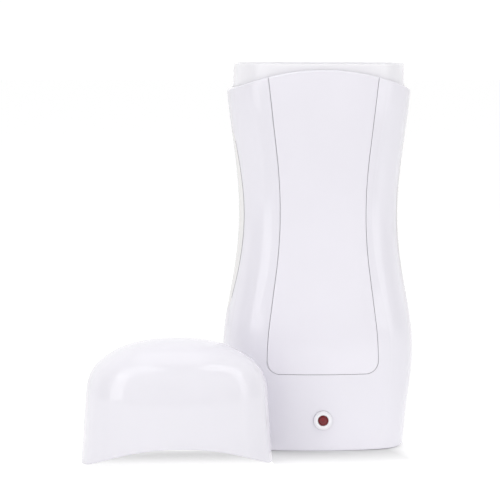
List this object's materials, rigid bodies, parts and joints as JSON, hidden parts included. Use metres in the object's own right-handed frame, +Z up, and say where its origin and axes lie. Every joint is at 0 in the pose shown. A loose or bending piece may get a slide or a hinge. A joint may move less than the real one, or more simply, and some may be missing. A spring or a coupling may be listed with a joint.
{
  "type": "roll-on wax heater",
  "caption": "Upright hourglass heater for a roll-on wax cartridge, with an oval well, an inset front panel, a pilot lamp and a lift-off dome cap standing beside it.",
  "frame": {"origin": "middle of the foot ring's resting face on the table", "axes": "+Z up out of the well, front with the panel and pilot lamp faces -Y, +X to the right seen from the front"},
  "size_m": [0.1326, 0.0988, 0.1516],
  "materials": {
    "housing_white": "polished white moulding",
    "rear_white": "polished white moulding, slightly warmer",
    "cap_white": "polished white moulding",
    "liner_white": "heat-resistant white moulding",
    "cover_plastic": "fine grained white moulding",
    "foot_rubber": "pale non-slip rubber",
    "bezel_white": "small polished white ring",
    "lens_red": "translucent dark red",
    "lamp_epoxy": "clear red resin",
    "board_laminate": "brown paper laminate",
    "resistor_body": "beige lacquer with colour bands",
    "diode_body": "black moulded epoxy with a pale band",
    "heater_aluminium": "milled aluminium",
    "stone_ceramic": "grey sintered ceramic with metallised faces",
    "film_amber": "amber polyimide film",
    "spring_steel": "bright spring steel",
    "screw_steel": "zinc plated steel",
    "thermostat_black": "black phenolic",
    "fuse_white": "off-white body",
    "inlet_black": "black moulding",
    "pin_brass": "plated brass",
    "lead_brown": "brown insulation",
    "lead_blue": "blue insulation",
    "lead_red": "red insulation"
  },
  "bodies": {
    "housing": {"front_shell": "housing_white", "rear_shell": "rear_white", "front_panel": "housing_white", "well_liner": "liner_white", "base_cover": "cover_plastic", "foot_ring": "foot_rubber", "indicator_bezel": "bezel_white", "indicator_lens": "lens_red", "indicator_lamp": "lamp_epoxy", "control_board": "board_laminate", "lamp_resistor": "resistor_body", "lamp_diode": "diode_body", "heater_plate": "heater_aluminium", "insulating_films": "film_amber", "ptc_stones": "stone_ceramic", "heater_clamp": "spring_steel", "casing_screws": "screw_steel", "cover_screws": "screw_steel", "board_screws": "screw_steel", "clamp_screws": "screw_steel", "thermostat": "thermostat_black", "thermostat_screws": "screw_steel", "thermal_fuse": "fuse_white", "fuse_clip": "spring_steel", "inlet_socket": "inlet_black", "inlet_pins": "pin_brass", "live_lead": "lead_brown", "neutral_lead": "lead_blue", "fuse_lead": "lead_brown", "thermostat_lead": "lead_blue", "heater_leads": "lead_red"},
    "cap": {"cap": "cap_white"}
  },
  "joints": [
    {"name": "cap_lift", "type": "slide", "parent": "housing", "child": "cap", "axis": [0, 0, 1], "range_m": [0, 0.16]}
  ]
}
